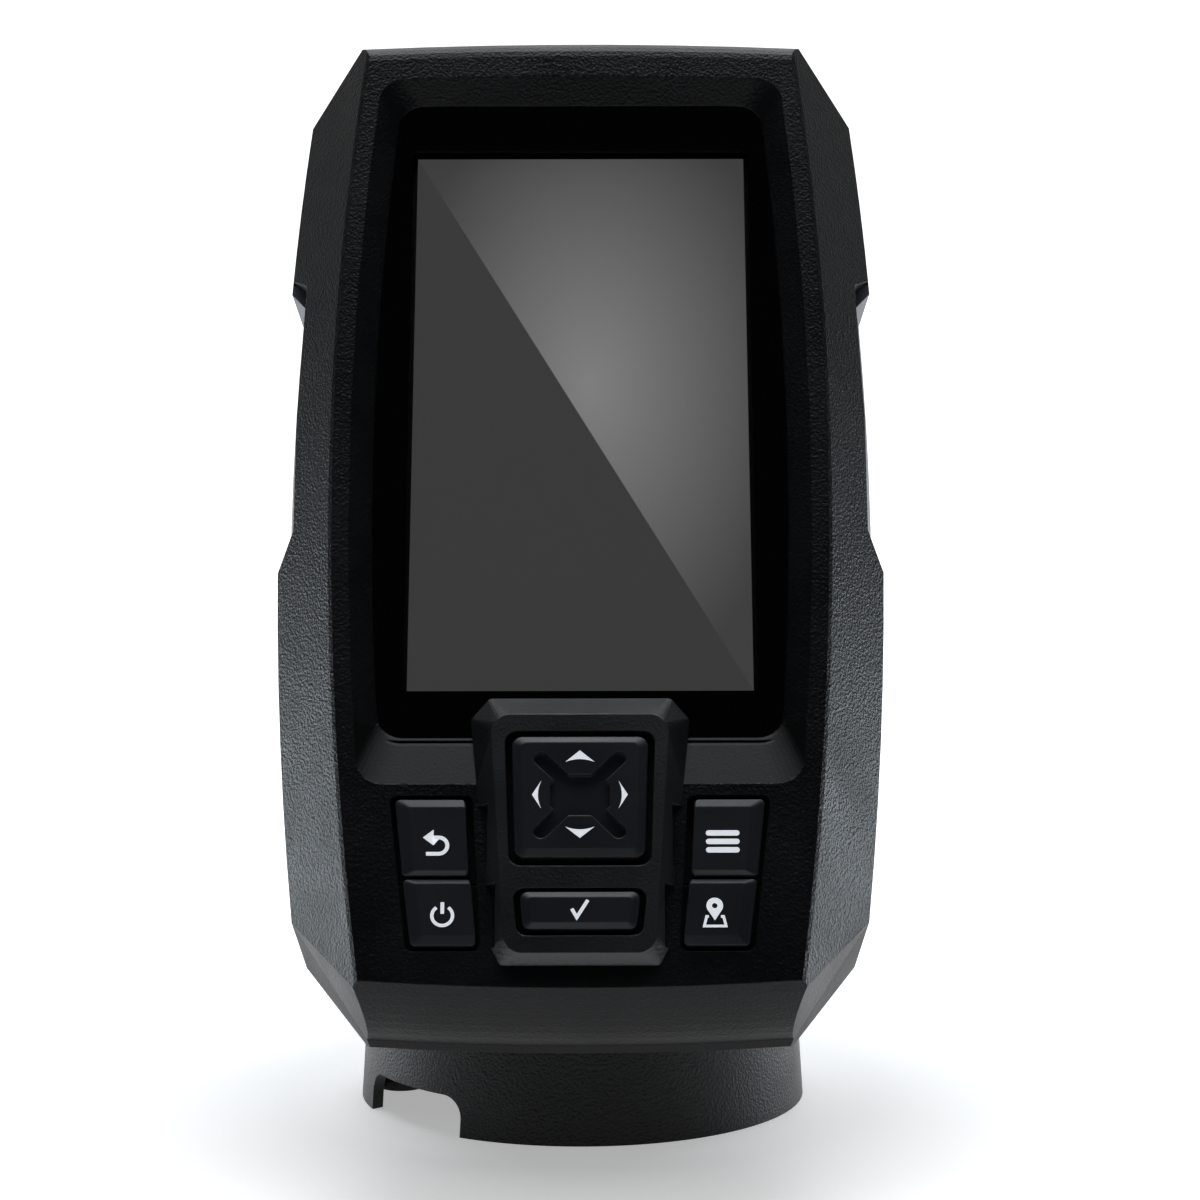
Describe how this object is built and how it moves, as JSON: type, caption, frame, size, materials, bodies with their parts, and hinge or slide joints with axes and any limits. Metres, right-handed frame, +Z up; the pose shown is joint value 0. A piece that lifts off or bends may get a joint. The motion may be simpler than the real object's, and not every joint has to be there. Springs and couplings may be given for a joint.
{
  "type": "fish finder",
  "caption": "Handheld-size fish finder head unit with screen, arrow pad and keys, on a quick-release cradle that tilts in a fork and swivels on a round screw-down base",
  "frame": {"origin": "Centre of the base's underside, on the deck, where the swivel axis meets it", "axes": "+Z up along the swivel axis; -Y is the side that the screen faces with the swivel at rest; +X is to the right of someone looking at the screen"},
  "size_m": [0.097, 0.1106, 0.1759],
  "materials": {
    "shell_black": "fine pebble-grain moulded finish",
    "rear_black": "fine matt moulded finish",
    "key_black": "satin moulded finish",
    "mount_black": "glass-filled, fine matt",
    "lever_grey": "satin moulded finish",
    "window_black": "polished clear sheet with a black printed border behind it",
    "adhesive_black": "foam tape",
    "lcd_glass": "dark glass with a matt polariser",
    "bright_steel": "plain stainless",
    "flex_amber": "polyimide film",
    "board_green": "solder mask",
    "chip_black": "moulded epoxy",
    "ceramic_cream": "fired ceramic and nylon",
    "rubber_black": "matt silicone",
    "brass_pins": "turned",
    "seal_orange": "silicone",
    "nylon_white": "natural nylon"
  },
  "bodies": {
    "base": {"base_shell": "shell_black", "glide_ring": "nylon_white"},
    "turntable": {"fork": "mount_black", "tilt_bolt": "bright_steel", "swivel_ring": "mount_black", "ring_screws": "bright_steel", "wave_washer": "bright_steel"},
    "knob": {"tilt_knob": "mount_black", "knob_insert": "brass_pins"},
    "cradle_body": {"cradle": "mount_black", "lever_screw": "bright_steel", "tilt_washers": "nylon_white"},
    "lever": {"lock_lever": "lever_grey"},
    "unit": {"front_housing": "shell_black", "keypad_surround": "shell_black", "display_window": "window_black", "window_adhesive": "adhesive_black", "lcd_panel": "lcd_glass", "backlight_unit": "bright_steel", "display_ribbon": "flex_amber", "keypad_board": "board_green", "key_domes": "bright_steel", "keypad_membrane": "rubber_black", "main_board": "board_green", "board_chips": "chip_black", "sonar_shield": "bright_steel", "sonar_transformer": "chip_black", "gps_antenna": "ceramic_cream", "beeper": "chip_black", "board_link": "ceramic_cream", "board_screws": "bright_steel", "rear_housing": "rear_black", "housing_gasket": "rubber_black", "housing_screws": "bright_steel", "socket_body": "rear_black", "socket_pins": "brass_pins", "socket_seal": "seal_orange", "socket_nut": "bright_steel", "vent_plug": "rubber_black"},
    "key_back": {"back_key": "key_black"},
    "key_power": {"power_key": "key_black"},
    "key_menu": {"menu_key": "key_black"},
    "key_mark": {"mark_key": "key_black"},
    "key_select": {"select_key": "key_black"},
    "pad_carrier": {"pad_pivot": "rubber_black"},
    "pad": {"arrow_pad": "key_black"}
  },
  "joints": [
    {"name": "swivel", "type": "hinge", "parent": "base", "child": "turntable", "pos_m": [0, 0, 0.02], "axis": [0, 0, 1], "range_deg": [-75, 75]},
    {"name": "tilt", "type": "hinge", "parent": "turntable", "child": "cradle_body", "pos_m": [0, 0.0136, 0.0523], "axis": [1, 0, 0], "range_deg": [-45, 10]},
    {"name": "tilt_clamp", "type": "hinge", "parent": "turntable", "child": "knob", "pos_m": [0.027, 0.0136, 0.0523], "axis": [1, 0, 0], "range_deg": [0, 300]},
    {"name": "lift_off", "type": "slide", "parent": "cradle_body", "child": "unit", "axis": [0, 0.5, 0.866], "range_m": [0, 0.05]},
    {"name": "lock", "type": "hinge", "parent": "cradle_body", "child": "lever", "pos_m": [-0.0187, -0.00368, 0.05997], "axis": [0, -0.866, 0.5], "range_deg": [-25, 0]},
    {"name": "press_back", "type": "slide", "parent": "unit", "child": "key_back", "axis": [0, 0.866, -0.5], "range_m": [0, 0.0004], "stiffness_N_per_m": 900},
    {"name": "press_power", "type": "slide", "parent": "unit", "child": "key_power", "axis": [0, 0.866, -0.5], "range_m": [0, 0.0004], "stiffness_N_per_m": 900},
    {"name": "press_menu", "type": "slide", "parent": "unit", "child": "key_menu", "axis": [0, 0.866, -0.5], "range_m": [0, 0.0004], "stiffness_N_per_m": 900},
    {"name": "press_mark", "type": "slide", "parent": "unit", "child": "key_mark", "axis": [0, 0.866, -0.5], "range_m": [0, 0.0004], "stiffness_N_per_m": 900},
    {"name": "press_select", "type": "slide", "parent": "unit", "child": "key_select", "axis": [0, 0.866, -0.5], "range_m": [0, 0.0004], "stiffness_N_per_m": 900},
    {"name": "pad_up_down", "type": "hinge", "parent": "unit", "child": "pad_carrier", "pos_m": [0, -0.05499, 0.05749], "axis": [1, 0, 0], "range_deg": [-1.5, 1.5], "stiffness_Nm_per_rad": 0.3},
    {"name": "pad_left_right", "type": "hinge", "parent": "pad_carrier", "child": "pad", "pos_m": [0, -0.05499, 0.05749], "axis": [0, 0.5, 0.866], "range_deg": [-1.5, 1.5], "stiffness_Nm_per_rad": 0.3}
  ]
}
